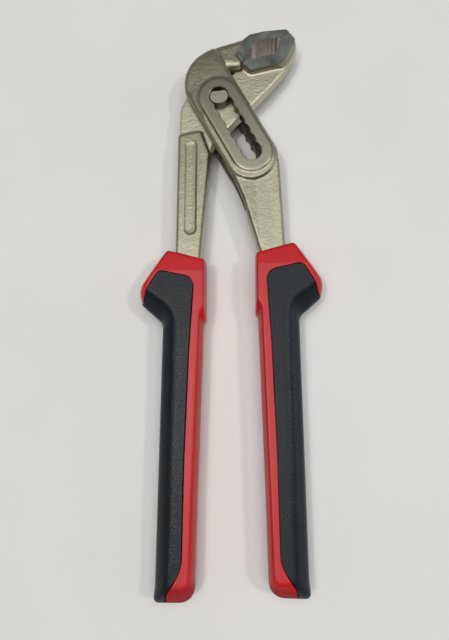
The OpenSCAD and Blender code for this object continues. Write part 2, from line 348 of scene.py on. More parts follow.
# Heights between which the boss turns to ground steel and the web to worn steel, and the stretch along the
# tool over which the ends of the red sleeves turn duller and take a painted shade of deeper red
GROUND_FROM, GROUND_FULL = 7.4, 7.8
WORN_FROM, WORN_FULL = 3.4, 2.7
END_SHADE_AND_DULL_FROM, END_SHADE_AND_DULL_FULL = -114, -119


def linear(hex_colour):
    """A colour written as sRGB hex, as linear values with full alpha."""
    parts = [int(hex_colour[i:i + 2], 16) / 255 for i in (1, 3, 5)]
    return tuple(p / 12.92 if p <= 0.04045 else ((p + 0.055) / 1.055) ** 2.4 for p in parts) + (1.0,)


def add(material, kind, settings=None, **links):
    """Adds one node to a material or world. Settings go by property or socket name, or _ and a socket's number,
    ramp stops are (place, hex), and links are socket=(node, output)."""
    node = material.node_tree.nodes.new(kind)
    for name, value in (settings or {}).items():
        if name == "stops":
            for element, (place, colour) in zip(node.color_ramp.elements, value):
                element.position, element.color = place, linear(colour)
        elif name in node.inputs:
            node.inputs[name].default_value = value
        elif name[0] == "_":
            node.inputs[int(name[1:])].default_value = value
        else:
            setattr(node, name, value)
    for name, (source, output) in links.items():
        socket = node.inputs[int(name[1:])] if name[0] == "_" else node.inputs[name.replace("_", " ")]
        material.node_tree.links.new(source.outputs[output], socket)
    return node


def started(name):
    """A new material, with the coordinates that its patterns lie on."""
    material = bpy.data.materials.new(name)
    material.use_nodes = True
    material.node_tree.nodes.clear()
    return material, add(material, "ShaderNodeTexCoord")


def ended(material, shader):
    """The material, with its shader sent to the output."""
    add(material, "ShaderNodeOutputMaterial", Surface=(shader, "BSDF"))
    return material


def forged_nickel_steel():
    # Drop-forged steel, blasted and nickel plated: a warm satin grey with a fine pebbled grain and broad
    # faint clouds. The flat of the slot boss is ground, so it is smoother; the web that slides between
    # the plates is worn brighter.
    m, place = started("forged_nickel_steel")
    peel = add(m, "ShaderNodeTexNoise", {"Scale": 1 / (0.55 * MM), "Detail": 2.0, "Roughness": 0.55},
               Vector=(place, "Object"))
    drawn = add(m, "ShaderNodeMapping", {"Rotation": (0, 0, radians(-35)), "Scale": (0.55, 1.0, 1.0)},
                Vector=(place, "Object"))
    ripples = add(m, "ShaderNodeTexNoise", {"Scale": 1 / (1.2 * MM), "Detail": 2.0}, Vector=(drawn, "Vector"))
    patches = add(m, "ShaderNodeTexNoise", {"Scale": 1 / (6 * MM), "Detail": 3.0}, Vector=(place, "Object"))
    axes = add(m, "ShaderNodeSeparateXYZ", Vector=(place, "Object"))
    height = add(m, "ShaderNodeMath", {"operation": "SUBTRACT", "_1": PIVOT.z}, _0=(axes, "Z"))
    level = add(m, "ShaderNodeMath", {"operation": "ABSOLUTE"}, _0=(height, "Value"))
    ground = add(m, "ShaderNodeMapRange", {"From Min": GROUND_FROM * MM, "From Max": GROUND_FULL * MM,
                                           "interpolation_type": "SMOOTHSTEP"}, Value=(level, "Value"))
    worn = add(m, "ShaderNodeMapRange", {"From Min": WORN_FROM * MM, "From Max": WORN_FULL * MM},
               Value=(level, "Value"))
    tone = add(m, "ShaderNodeValToRGB", {"stops": [(0.3, "#878571"), (0.7, "#979480")]}, Fac=(patches, "Fac"))
    speck = add(m, "ShaderNodeValToRGB", {"stops": [(0.3, "#807E6D"), (0.7, "#A09E8C")]}, Fac=(peel, "Fac"))
    skin = add(m, "ShaderNodeMix", {"data_type": "RGBA", "_0": 0.5}, _6=(tone, "Color"), _7=(speck, "Color"))
    bright = add(m, "ShaderNodeMix", {"data_type": "RGBA", "_7": linear("#BAB7A2")}, _0=(worn, "Result"),
                 _6=(skin, 2))
    colour = add(m, "ShaderNodeMix", {"data_type": "RGBA", "_7": linear("#868474")},
                 _0=(ground, "Result"), _6=(bright, 2))
    rough = add(m, "ShaderNodeMapRange", {"From Min": 0.3, "From Max": 0.7, "To Min": 0.34, "To Max": 0.46},
                Value=(peel, "Fac"))
    rough_here = add(m, "ShaderNodeMix", {"data_type": "FLOAT", "_3": 0.33}, _0=(ground, "Result"),
                     _2=(rough, "Result"))
    relief = add(m, "ShaderNodeMath", {"operation": "ADD"}, _0=(ripples, "Fac"), _1=(peel, "Fac"))
    calm = add(m, "ShaderNodeMapRange", {"To Min": 0.8, "To Max": 0.28}, Value=(ground, "Result"))
    bump = add(m, "ShaderNodeBump", {"Distance": 0.13 * MM}, Height=(relief, "Value"), Strength=(calm, "Result"))
    shader = add(m, "ShaderNodeBsdfPrincipled", {"Metallic": 1.0}, Base_Color=(colour, 2),
                 Roughness=(rough_here, 0), Normal=(bump, "Normal"))
    return ended(m, shader)


def ground_jaw_steel():
    # Jaw flats, hardened and ground: dark grey, a little blue from the heat, with fine grinding lines.
    # Real lines are under 0.1 mm wide; they are drawn coarser so that they show.
    m, place = started("ground_jaw_steel")
    lay = add(m, "ShaderNodeMapping", {"Rotation": (0, 0, radians(-20)), "Scale": (0.12, 1.0, 1.0)},
              Vector=(place, "Object"))
    lines = add(m, "ShaderNodeTexNoise", {"Scale": 1 / (0.3 * MM), "Detail": 2.0}, Vector=(lay, "Vector"))
    clouds = add(m, "ShaderNodeTexNoise", {"Scale": 1 / (4 * MM), "Detail": 3.0}, Vector=(place, "Object"))
    tone = add(m, "ShaderNodeValToRGB", {"stops": [(0.3, "#545957"), (0.7, "#82867F")]}, Fac=(clouds, "Fac"))
    rough = add(m, "ShaderNodeMapRange", {"From Min": 0.3, "From Max": 0.7, "To Min": 0.38, "To Max": 0.52},
                Value=(lines, "Fac"))
    bump = add(m, "ShaderNodeBump", {"Strength": 0.15, "Distance": 0.06 * MM}, Height=(lines, "Fac"))
    shader = add(m, "ShaderNodeBsdfPrincipled", {"Metallic": 1.0}, Base_Color=(tone, "Color"),
                 Roughness=(rough, "Result"), Normal=(bump, "Normal"))
    return ended(m, shader)


def broached_tooth_steel():
    # Walls of the mouth, broached and then hardened: a faintly pink grey, painted paler than the steel is as
    # painted light for walls that lie in the shade of the mouth, with a satin sheen that parts the ribs into light
    # and dark.
    m, place = started("broached_tooth_steel")
    mottle = add(m, "ShaderNodeTexNoise", {"Scale": 1 / (1.2 * MM), "Detail": 3.0}, Vector=(place, "Object"))
    # Painted light: the pink grey is lighter than the steel's own tone
    tone = add(m, "ShaderNodeValToRGB", {"stops": [(0.3, "#C9C0BA"), (0.7, "#DFD6D0")]}, Fac=(mottle, "Fac"))
    shader = add(m, "ShaderNodeBsdfPrincipled", {"Metallic": 0.85, "Roughness": 0.36}, Base_Color=(tone, "Color"))
    return ended(m, shader)


def dark_slot_steel():
    # Broached walls of the slot and the insides of the plates: a darker steel than the outer skin.
    m, place = started("dark_slot_steel")
    mottle = add(m, "ShaderNodeTexNoise", {"Scale": 1 / (2 * MM), "Detail": 3.0}, Vector=(place, "Object"))
    tone = add(m, "ShaderNodeValToRGB", {"stops": [(0.3, "#544C45"), (0.7, "#685F57")]}, Fac=(mottle, "Fac"))
    shader = add(m, "ShaderNodeBsdfPrincipled", {"Metallic": 1.0, "Roughness": 0.45}, Base_Color=(tone, "Color"))
    return ended(m, shader)


def turned_pin_steel():
    # Turned and faced pin: light grey, satin, with faint rings from the tool, drawn coarser than real
    # so that they show.
    m, place = started("turned_pin_steel")
    centred = add(m, "ShaderNodeMapping", {"Location": -PIVOT}, Vector=(place, "Object"))
    rings = add(m, "ShaderNodeTexWave", {"wave_type": "RINGS", "rings_direction": "Z",
                                         "Scale": 1 / (3 * MM), "Distortion": 0.6}, Vector=(centred, "Vector"))
    mottle = add(m, "ShaderNodeTexNoise", {"Scale": 1 / (1.5 * MM), "Detail": 3.0}, Vector=(place, "Object"))
    tone = add(m, "ShaderNodeValToRGB", {"stops": [(0.3, "#8F8E7F"), (0.7, "#9D9C8D")]}, Fac=(mottle, "Fac"))
    bump = add(m, "ShaderNodeBump", {"Strength": 0.1, "Distance": 0.06 * MM}, Height=(rings, "Fac"))
    shader = add(m, "ShaderNodeBsdfPrincipled", {"Metallic": 1.0, "Roughness": 0.45},
                 Base_Color=(tone, "Color"), Normal=(bump, "Normal"))
    return ended(m, shader)


def oiled_spring_steel():
    # Hardened spring wire under a film of oil: dark, fairly smooth.
    m, place = started("oiled_spring_steel")
    mottle = add(m, "ShaderNodeTexNoise", {"Scale": 1 / (0.8 * MM), "Detail": 2.0}, Vector=(place, "Object"))
    tone = add(m, "ShaderNodeValToRGB", {"stops": [(0.3, "#3E4045"), (0.7, "#54565A")]}, Fac=(mottle, "Fac"))
    shader = add(m, "ShaderNodeBsdfPrincipled", {"Metallic": 1.0, "Roughness": 0.3}, Base_Color=(tone, "Color"))
    return ended(m, shader)


def moulded_red_plastic():
    # Injection-moulded polypropylene: saturated red, half-gloss, with a spark-eroded mould grain, drawn
    # coarser than real so that it shows. The ends are a little duller, and painted a deeper red as shade.
    m, place = started("moulded_red_plastic")
    grain = add(m, "ShaderNodeTexNoise", {"Scale": 1 / (0.5 * MM), "Detail": 2.0}, Vector=(place, "Object"))
    clouds = add(m, "ShaderNodeTexNoise", {"Scale": 1 / (14 * MM), "Detail": 2.0}, Vector=(place, "Object"))
    tone = add(m, "ShaderNodeValToRGB", {"stops": [(0.3, "#B60E14"), (0.7, "#BE1118")]}, Fac=(clouds, "Fac"))
    axes = add(m, "ShaderNodeSeparateXYZ", Vector=(place, "Object"))
    end = add(m, "ShaderNodeMapRange", {"From Min": END_SHADE_AND_DULL_FROM * MM, "From Max": END_SHADE_AND_DULL_FULL * MM,
                                        "interpolation_type": "SMOOTHSTEP"}, Value=(axes, "Y"))
    # Painted shade: towards the ends, which slope away from the light, the red is mixed deeper
    colour = add(m, "ShaderNodeMix", {"data_type": "RGBA", "_7": linear("#96030A")}, _0=(end, "Result"),
                 _6=(tone, "Color"))
    rough = add(m, "ShaderNodeMapRange", {"From Min": 0.3, "From Max": 0.7, "To Min": 0.33, "To Max": 0.43},
                Value=(grain, "Fac"))
    bump = add(m, "ShaderNodeBump", {"Strength": 0.4, "Distance": 0.08 * MM}, Height=(grain, "Fac"))
    dull = add(m, "ShaderNodeMix", {"data_type": "FLOAT", "_3": 0.62}, _0=(end, "Result"), _2=(rough, "Result"))
    shader = add(m, "ShaderNodeBsdfPrincipled", {"IOR": 1.49, "Specular IOR Level": 0.41}, Base_Color=(colour, 2),
                 Roughness=(dull, 0), Normal=(bump, "Normal"))
    return ended(m, shader)


def soft_black_rubber():
    # Thermoplastic rubber overmould: charcoal with a leather grain from the mould, drawn coarser than
    # real so that it shows, and a soft sheen.
    m, place = started("soft_black_rubber")
    pebbles = add(m, "ShaderNodeTexVoronoi", {"feature": "SMOOTH_F1", "Scale": 1 / (0.7 * MM), "Smoothness": 0.6},
                  Vector=(place, "Object"))
    grain = add(m, "ShaderNodeTexNoise", {"Scale": 1 / (0.55 * MM), "Detail": 2.0}, Vector=(place, "Object"))
    clouds = add(m, "ShaderNodeTexNoise", {"Scale": 1 / (12 * MM), "Detail": 2.0}, Vector=(place, "Object"))
    tone = add(m, "ShaderNodeValToRGB", {"stops": [(0.3, "#141A1F"), (0.7, "#192025")]}, Fac=(clouds, "Fac"))
    relief = add(m, "ShaderNodeMath", {"operation": "ADD"}, _0=(pebbles, "Distance"), _1=(grain, "Fac"))
    bump = add(m, "ShaderNodeBump", {"Strength": 0.55, "Distance": 0.14 * MM}, Height=(relief, "Value"))
    rough = add(m, "ShaderNodeMapRange", {"From Min": 0.3, "From Max": 0.7, "To Min": 0.27, "To Max": 0.35},
                Value=(grain, "Fac"))
    shader = add(m, "ShaderNodeBsdfPrincipled", {"IOR": 1.5, "Specular IOR Level": 0.19},
                 Base_Color=(tone, "Color"), Roughness=(rough, "Result"), Normal=(bump, "Normal"))
    return ended(m, shader)


STEEL = forged_nickel_steel()
JAW = ground_jaw_steel()
TEETH = broached_tooth_steel()
SLOT = dark_slot_steel()
PIN = turned_pin_steel()
SPRING = oiled_spring_steel()
RED = moulded_red_plastic()
BLACK = soft_black_rubber()


# Places of the materials on a forging
SKIN_FACE, FLAT_FACE, TOOTH_FACE, SLOT_FACE = range(4)


def dressed(piece, *materials):
    """Gives a piece its materials, in order."""
    piece.data.materials.clear()
    for material in materials:
        piece.data.materials.append(material)


# Jaws: toothed blocks with ground flats, left crisp

CONTACT_IN = Vector((28.1, 29.3))
CONTACT_TIP = Vector((32.25, 31.85))
JAW_GAP = 0.2
contact = CONTACT_TIP - CONTACT_IN
across_contact = Vector((-contact.y, contact.x)).normalized() * JAW_GAP / 2
JAW_HALF = 6.0
BROKEN_EDGE = 0.45
# Share of a face's normal along z past which the face is a flat, and under which it is a wall
FLAT, WALL = 0.9, 0.6


def jaw_block(name, corners, mouth):
    """A toothed block with its edge broken all round, apart from the mouth, a test of a place."""
    block = blank(name, rounded(corners), [(0, JAW_HALF)])
    only(block)
    bpy.ops.object.mode_set(mode="EDIT")
    bpy.ops.mesh.select_mode(type="EDGE")
    bpy.ops.mesh.select_all(action="DESELECT")
    bpy.ops.object.mode_set(mode="OBJECT")
    for edge in block.data.edges:
        ends = [block.data.vertices[v].co / MM for v in edge.vertices]
        middle = (ends[0] + ends[1]) / 2
        edge.select = all(abs(abs(e.z) - JAW_HALF) < NEAR for e in ends) and not mouth(middle)
    bpy.ops.object.mode_set(mode="EDIT")
    bpy.ops.mesh.bevel(offset=BROKEN_EDGE * MM, segments=2, profile=0.5, clamp_overlap=True)
    bpy.ops.object.mode_set(mode="OBJECT")
    dressed(block, STEEL, JAW, TEETH)
    for face in block.data.polygons:
        if abs(face.normal.z) > FLAT:
            face.material_index = FLAT_FACE
        else:
            face.material_index = TOOTH_FACE if mouth(face.center / MM) else SKIN_FACE
    return block


def in_upper_mouth(place):
    """Whether a place is on the upper teeth, or on the face that meets the lower jaw."""
    x, y, z = place
    past_teeth = (place - Vector((10.3, 18.4, z))).cross(Vector((6.5, 9.6, 0))).z
    roof = 30.0 + (x - 28) * 0.6 if x > 28 else 30.5 + (x - 28) * 0.15
    return x > 10.3 and past_teeth > -14 and y < roof


def in_lower_mouth(place):
    """Whether a place is on the lower teeth, or on the face that meets the upper jaw."""
    x, y, _ = place
    floor = 19.2 + (x - 15) * 0.25 - 1.6
    return x < (CONTACT_IN - across_contact).x + 4 and y > 17.5 and y > floor and (x < 27.0 or y > 28.5)


def upper_jaw_block():
    tip, inner = CONTACT_TIP + across_contact, CONTACT_IN + across_contact
    return jaw_block("upper_jaw_block", [
        (tip.x, tip.y, 0.3), (30.7, 33.65, 0.8), (20, 32.95, 25), (13.8, 31.5, 3), (11.2, 29.4, 0.8),
        (7.2, 22.1, 0.8), (10, 18.3, 0.4)]
        + saw_teeth((10.8, 18.6), (15.9, 26.4), 5, 0.8, 0.05, 0.15) + [(16.2, 27.4)]
        + saw_teeth((16.6, 27.6), (inner.x - 0.6, inner.y - 0.1), 6, 1.0, 0.12, 0.35) + [(inner.x, inner.y)],
        in_upper_mouth)


def lower_jaw_block():
    tip, inner = CONTACT_TIP - across_contact, CONTACT_IN - across_contact
    return jaw_block("lower_jaw_block", [
        (tip.x, tip.y, 0.3), (inner.x, inner.y, 0.3), (26.3, 22.8, 0.8)]
        + saw_teeth((25.4, 22.0), (13.6, 19.0), 6, 1.0, 0.12, 0.3)
        + [(13.0, 18.9), (11.1, 17.9, 0.5), (11.2, 16.5, 0.8), (14.4, 13.7, 1.5), (29.5, 17.1, 2.5),
           (31.6, 20.6, 6), (34.7, 28.6, 1)],
        in_lower_mouth)


# Slotted lever: head, plates, slot boss, neck, upper jaw and right arm

# Half thicknesses of its parts, and the places between which the arm thins from root to grip
PLATE_HALF, NECK_HALF, ROOT_HALF, ARM_HALF, PASSAGE_HALF = 6.8, 4.5, 6.3, 4.8, 3.2
ROOT_END, ARM_START = -44, -69
# Ways in from the parting edge to the flat
ARM_SLOPE, PLATE_SLOPE = 1.7, 1.6
# The boss with the ledge round it, the height above which it is ground, and the broken rim of the slot
BOSS_R, LEDGE_R = 9.8, 10.6
GROUND_HEIGHT = 7.1
RIM_TOP, RIM_OUT, RIM_DEPTH = 8.05, 0.35, 0.4
# The crown of the head: where it starts outside the boss and how soon it is full, its top, its fall at a
# distance from there, and where it fades out down the slot, across it and down the wall
CROWN_START, CROWN_BLEND = 9.9, 5
CROWN_ACROSS, CROWN_DOWN = 2, -11
CROWN_FALL, CROWN_REACH = 1.4, 18
CROWN_END, CROWN_SIDE = 12, 11
CROWN_FLOOR, CROWN_RISE = 4.5, 1.5
TANG_END = -190


def thinned(piece, start, end, full, slim):
    """Draws a blank's thickness down from one height to another between two places along it."""
    for vertex in piece.data.vertices:
        share = min(1, max(0, (start - vertex.co.y / MM) / (start - end)))
        vertex.co.z *= 1 + share * (slim / full - 1)


# Shares of the way from the parting edge to the flat, and of the height
ARM_DRAFT = [(0, 0), (0.18, 0.38), (0.38, 0.72), (0.48, 0.84), (0.62, 0.93), (0.8, 0.98), (1, 1)]
PLATE_DRAFT = [(0, 0), (0, 0.84), (0.18, 0.905), (0.42, 0.955), (0.7, 0.985), (1, 1)]
NECK_DRAFT = [(0, 0), (0.03, 0.3), (0.12, 0.55), (0.28, 0.76), (0.5, 0.9), (0.75, 0.975), (1, 1)]
WEB_DRAFT = [(0, 0), (0.3, 0.35), (0.62, 0.7), (0.82, 0.9), (1, 1)]
JAW_DRAFT = [(0, 0), (0.2, 0.3), (0.5, 0.68), (0.8, 0.92), (1, 1)]
FOOT_DRAFT = [(0, 0), (0, 0.72), (0.45, 0.8), (0.8, 0.9), (1, 1)]

RIGHT_TANG = [(19.2, -71), (26.3, TANG_END, 1.5), (33.5, TANG_END, 1.5), (28.9, -71)]
LEFT_TANG = [(-17.9, -73), (-19.3, TANG_END, 1.5), (-11.9, TANG_END, 1.5), (-8.3, -73)]
TANG_STEPS = [(0, 3.2), (0.3, 0.3)]


def crowned(lever):
    """Crowns the two faces of the head, outside the boss, so that they fall away to the edge."""
    for vertex in lever.data.vertices:
        x, y, z = vertex.co / MM
        across = x * cos(SLOT_TILT) + y * sin(SLOT_TILT)
        down = x * sin(SLOT_TILT) - y * cos(SLOT_TILT)
        clear = min(1, max(0, (Vector((across, min(0, down))).length - CROWN_START) / CROWN_BLEND))
        from_top = Vector((across - CROWN_ACROSS, down - CROWN_DOWN)).length
        drop = CROWN_FALL * (from_top / CROWN_REACH) ** 2
        if down < CROWN_END and across < CROWN_SIDE and abs(z) > CROWN_FLOOR:
            fade = min(1, (CROWN_END - down) / CROWN_END) * min(1, (abs(z) - CROWN_FLOOR) / CROWN_RISE)
            vertex.co.z -= MM * drop * clear * clear * (3 - 2 * clear) * fade * (1 if z > 0 else -1)


def slotted_lever():
    plate_edge = [(*along_slot(10.7, -24.3), 1.5), (*along_slot(-12.3, -24.3), 18), (*along_slot(-12.8, 43), 11),
                  (*along_slot(10.7, 43), 10)]
    plate = forged("plate", plate_edge, drawn_in(plate_edge, PLATE_SLOPE), PLATE_HALF, PLATE_DRAFT)
    boss = blank("boss", stadium((0, 0), along_slot(0, SLOT_LENGTH), BOSS_R),
                 [(0, PLATE_HALF), (0.12, 0.5), (0.16, 0.3), (0.28, 0.22), (0.4, 0.13), (0.45, 0.045)])
    ledge = blank("ledge", stadium(along_slot(-1.2, 8), along_slot(-1.2, SLOT_LENGTH + 1.6), LEDGE_R),
                  [(0, PLATE_HALF + 0.05), (0.2, 0.3), (0.3, 0.12)])
    neck = forged("neck", [(-4, 18), (-2.2, 28.2), (12.4, 32.5), (15, 26), (9.6, 15.9, 1.5), (3, 16.0)],
                  [(-4, 20.5), (-1.8, 24.6), (12.6, 28.6), (13.4, 25.5), (8.6, 19.0, 1.0), (3, 19.6)],
                  NECK_HALF, NECK_DRAFT)
    arm_edge = [along_slot(9.7, 12), along_slot(-11.3, 12), (*along_slot(-13.8, 46), 45), (18.4, -74, 25),
                (18.6, -77), (30.1, -77), (30.0, -73, 40), (*along_slot(10.9, 37), 19)]
    arm = forged("arm", arm_edge, drawn_in(arm_edge, ARM_SLOPE), ROOT_HALF, ARM_DRAFT)
    thinned(arm, ROOT_END, ARM_START, ROOT_HALF, ARM_HALF)
    lever = fused(joined("slotted_lever_forging", [plate, boss, ledge, neck, arm]), STEEL_VOXEL,
                  STEEL_PASSES)
    crowned(lever)
    scaled(lever, GROUND_HEIGHT)
    passage = [(-30, 16.8), (0.5, 16.8), (1.5, 16), (60, 16), (60, -41.4), (-30, -62)]
    machined(lever, blank("passage", rounded(passage), [(0, PASSAGE_HALF)]))
    machined(lever, blank("slot", slot_outline(NOTCH_R), [(0, THROUGH)]))
    for side in (1, -1):
        rim = blank("rim", widened(slot_outline(NOTCH_R), RIM_OUT), [(RIM_DEPTH, -RIM_DEPTH * side)],
                    base=RIM_TOP * side, mirrored=False)
        machined(lever, rim)
    dressed(lever, STEEL, JAW, TEETH, SLOT)
    notches = [Vector(along_slot(0, i * NOTCH_PITCH)) for i in range(NOTCHES)]
    for face in lever.data.polygons:
        here = face.center.to_2d() / MM
        if abs(face.normal.z) < WALL:
            in_slot = min((here - n).length for n in notches) < NOTCH_R + 6 * NEAR
        else:
            in_slot = (abs(abs(face.center.z) / MM - PASSAGE_HALF) < 5 * NEAR
                       and face.center.z * face.normal.z < 0)
        face.material_index = SLOT_FACE if in_slot else SKIN_FACE
    tang = blank("right_tang", rounded(RIGHT_TANG), TANG_STEPS)
    lever = joined("slotted_lever_forging", [lever, upper_jaw_block(), tang])
    set_in_place(lever, "slotted_side", "forged_steel", "slotted_lever")


# Inner lever: lower jaw, flank and web, left arm with its plain panel

WEB_HALF, JAW_BACK_HALF, FOOT_HALF = 2.9, 5.85, 4.0
FOOT_SLOPE = 0.65
HUB_R, BORE_R, BORE_REACH = 9.4, 4.33, 4
PANEL_TOP, PANEL_FOOT, PANEL_R = (-12.4, -22.5), (-12.2, -61.5), 3.0
# Steps in and down from the rim of the panel to its floor
PANEL_STEPS = [(0.35, 0.22), (0.5, 0.28), (0.35, 0.1)]


def inner_lever():
    web = forged("web", [
        (1.6, 9.8), (7.2, 15.4), (9.4, 15.6), (11.0, 17.2), (26.0, 20.6), (30.6, 20.2), (31.9, 16.4, 4),
        (23.6, 5.6, 40), (-1.4, -20.9, 2), (-3.4, -25, 3), (-6, -40), (-18.5, -40), (-18.6, -2.8, 8),
        (-15.6, 3.4, 3), (-3, 8.8)], [
        (1.8, 9.4), (7.3, 15.0), (9.4, 15.1), (10.9, 16.6), (25.5, 19.0), (28.5, 18.5), (30.1, 15.2, 2),
        (22.5, 6.6, 40), (-3.0, -19.9, 1.5), (-4.7, -25, 3), (-7, -40), (-17.7, -40), (-17.7, -3.0, 7.5),
        (-15.2, 2.8, 2.6), (-3, 8.4)], WEB_HALF, WEB_DRAFT)
    hub = blank("hub", disc(HUB_R), [(0.2, WEB_HALF)])
    jaw_back = forged("jaw_back", [
        (14.5, 16.2), (25.2, 19.2), (28.4, 27.0), (32.4, 31.0), (35.8, 29.3, 1.2), (35.5, 24.6, 10),
        (32.0, 16.8, 8), (28.5, 15.2)], [
        (15.5, 16.0), (24.8, 18.6), (28.6, 26.4), (32.0, 30.3), (34.4, 28.7, 1), (33.0, 24.4, 10), (30.4, 18.6, 6),
        (28.0, 17.0)], JAW_BACK_HALF, JAW_DRAFT)
    foot_edge = [(10.4, 17.6), (10.5, 16.0, 0.8), (14.2, 12.9, 1.9), (30.2, 16.4, 2.5), (30.2, 20), (13, 18.3)]
    foot = forged("foot", foot_edge, drawn_in(foot_edge, FOOT_SLOPE), FOOT_HALF, FOOT_DRAFT)
    arm_edge = [(-7.7, -14.2, 1.6), (-12.0, -14.65, 14), (-19.2, -16.1), (-19.1, -74, 30), (-19.2, -79.5),
                (-7.3, -79.5), (-7.1, -74, 30), (-3.5, -25.4, 3)]
    arm = forged("arm", arm_edge, drawn_in(arm_edge, ARM_SLOPE), ARM_HALF, ARM_DRAFT)
    lever = fused(joined("inner_lever_forging", [web, hub, jaw_back, foot, arm]), STEEL_VOXEL,
                  STEEL_PASSES)
    scaled(lever)
    machined(lever, blank("bore", disc(BORE_R), [(0, BORE_REACH)]))
    for side in (1, -1):
        panel = blank("panel", stadium(PANEL_TOP, PANEL_FOOT, PANEL_R), [(i, -d * side) for i, d in PANEL_STEPS],
                      base=(ARM_HALF + 0.1) * side, mirrored=False)
        machined(lever, panel)
    dressed(lever, STEEL, JAW, TEETH)
    tang = blank("left_tang", rounded(LEFT_TANG), TANG_STEPS)
    lever = joined("inner_lever_forging", [lever, lower_jaw_block(), tang])
    set_in_place(lever, "inner_side", "forged_steel", "inner_lever")


# Pin, flat on one side and eased on the other

PIN_R, PIN_FLAT, PIN_TURN = 4.3, 2.95, radians(96)
PIN_EASE = 0.85
PIN_OUTLINE = 96
PIN_STEPS = [(0, 6.85), (0.08, 0.2), (0.2, 0.25)]


def pivot_pin():
    outline = []
    for k in range(PIN_OUTLINE):
        turn = 2 * pi * k / PIN_OUTLINE
        flat = cos(turn)
        r = min(PIN_R, PIN_FLAT / flat) if flat > 0.2 else PIN_R - PIN_EASE * max(0, -flat) ** 2
        outline.append(r * Vector((cos(PIN_TURN + turn), sin(PIN_TURN + turn))))
    shank = blank("pin_shank", outline, PIN_STEPS)
    core = blank("pin_core", disc(PIN_R), [(0, WEB_HALF)])
    pin = joined("pivot_pin_double_d", [shank, core])
    dressed(pin, PIN)
    set_in_place(pin, "inner_side", "pin_steel", "pivot_pin")


# Grips: one rounded form, split into the red sleeve and the black inlay

GRIP_EDGE = [(8.2, -0.4, 1.6), (-9.2, -4.9, 1.6), (-9.9, -31.7, 1.2), (-8.8, -33.8, 1.2), (-8.0, -110, 40),
             (-7.9, -145.9, 6), (8.9, -146.1, 2), (8.3, -139, 30), (8.8, -33.8, 5), (18.3, -25.7, 1.8),
             (19.85, -19.0, 7)]
GRIP_TOP = [(7.2, -1.9, 1.4), (-8.1, -6.2, 1.6), (-8.7, -25.0, 1.2), (-6.9, -28.0, 1.2), (-6.1, -90, 40),
            (-5.2, -138.2, 3), (2.5, -138.8, 1), (2.6, -132, 20), (3.2, -25.6, 15), (16.0, -18.8, 1.2),
            (16.4, -16.6, 3.5)]
INLAY_AREA = [(10.6, -10.9, 2.8), (15.2, -18.6, 16), (17.0, -24.5, 0.5), (40, -24.4), (40, -150), (4.4, -150),
              (2.9, -140.9, 4), (-2.95, -131.6, 14), (-2.75, -90, 60), (-3.4, -46, 60), (-4.65, -13.9, 5)]
GRIP_CORE = [(5.6, -8.5), (9.0, -15.5, 2), (12.6, -21.0, 1.5), (7.4, -26, 7), (5.0, -40, 10), (4.6, -137, 2),
             (-5.5, -136), (-6, -8.5)]
GRIP_CORE_END = [(5.6, -130), (-5, -130), (-5, -143.6), (5.6, -145.0)]
# The inlay runs on as a low lip round the end of the sleeve
END_LIP = [(12, -144.6), (-4.4, -145.0), (-4.4, -150), (12, -150)]

# Half thicknesses: of the sleeve and where its collar ends on the arm, the inlay, the core and its end, the lip
SLEEVE_HALF, COLLAR_HALF, INLAY_HALF, CORE_HALF, CORE_END_HALF, LIP_HALF = 7.4, 5.9, 7.99, 4.6, 1.6, 2.3
COLLAR_START, COLLAR_END = -11, -1.5
# The groove round the inlay, cut from the sleeve and from the inlay, and the rooms left round inner parts
GROOVE_OUT, GROOVE_IN = 0.34, -0.22
LIP_ROOM, CORE_ROOM, SOCKET_ROOM, TANG_ROOM = 0.15, 0.05, 0.18, 0.1
TANG_ROOM_HALF = 3.6

# Shares of the way from the parting edge to the flat, and of the height, on each side of a grip
STRIP_SIDE = [(0, 0), (0.02, 0.27), (0.05, 0.54), (0.08, 0.72), (0.11, 0.83), (0.15, 0.9), (0.21, 0.945),
              (0.3, 0.97), (0.6, 0.988), (1, 1)]
PALM_SIDE = [(0, 0), (0.01, 0.275), (0.05, 0.417), (0.15, 0.565), (0.283, 0.684), (0.5, 0.809), (0.75, 0.91),
             (1, 0.971), (1.25, 0.996), (1.417, 1)]
COLLAR_SIDE = [(0, 0), (0.03, 0.08), (0.1, 0.27), (0.25, 0.54), (0.45, 0.8), (0.6, 0.9), (0.72, 0.95),
               (0.82, 0.975), (0.92, 0.992), (1, 1)]
END_SIDE = [(0, 0), (0.02, 0.08), (0.05, 0.18), (0.114, 0.3), (0.25, 0.46), (0.43, 0.635), (0.61, 0.79),
            (0.795, 0.92), (0.91, 0.98), (1, 1)]
# How far the parting edge is let in under the guard, and where the guard starts
GUARD_GROOVE = 1.9
GUARD_OUT, GUARD_TOP = 9.5, -14


def grip_form(name, half):
    """The skin of a grip, from its parting edge to its flat, softened as a moulding is."""
    edge, top = rounded(GRIP_EDGE, MOULDED_ARC), rounded(GRIP_TOP, MOULDED_ARC)
    rings = [[] for _ in STRIP_SIDE]
    for e, t in zip(edge, top):
        way = (e - t).normalized()
        across = PALM_SIDE if way.x > 0 else STRIP_SIDE
        along = COLLAR_SIDE if way.y > 0 else END_SIDE
        groove = GUARD_GROOVE if e.x > GUARD_OUT and e.y < GUARD_TOP else 0
        for k, ring in enumerate(rings):
            share, height = Vector(across[k]) * way.x ** 2 + Vector(along[k]) * way.y ** 2
            ring.append(Vector((*(e.lerp(t, share) - way * (groove if k == 0 else 0)), half * height)))
    form = fused(loft(name, rings), GRIP_VOXEL, GRIP_PASSES)
    thinned(form, COLLAR_START, COLLAR_END, SLEEVE_HALF, COLLAR_HALF)
    return form


def grip_core(room=0.0):
    """The part of the sleeve that runs on under the inlay, or the room for it."""
    core = blank("grip_core", widened(rounded(GRIP_CORE), room), [(0, CORE_HALF + room), (0.2, 0.2)])
    end = blank("grip_core_end", widened(rounded(GRIP_CORE_END), room), [(0, CORE_END_HALF + room)])
    return machined(core, end, "UNION")


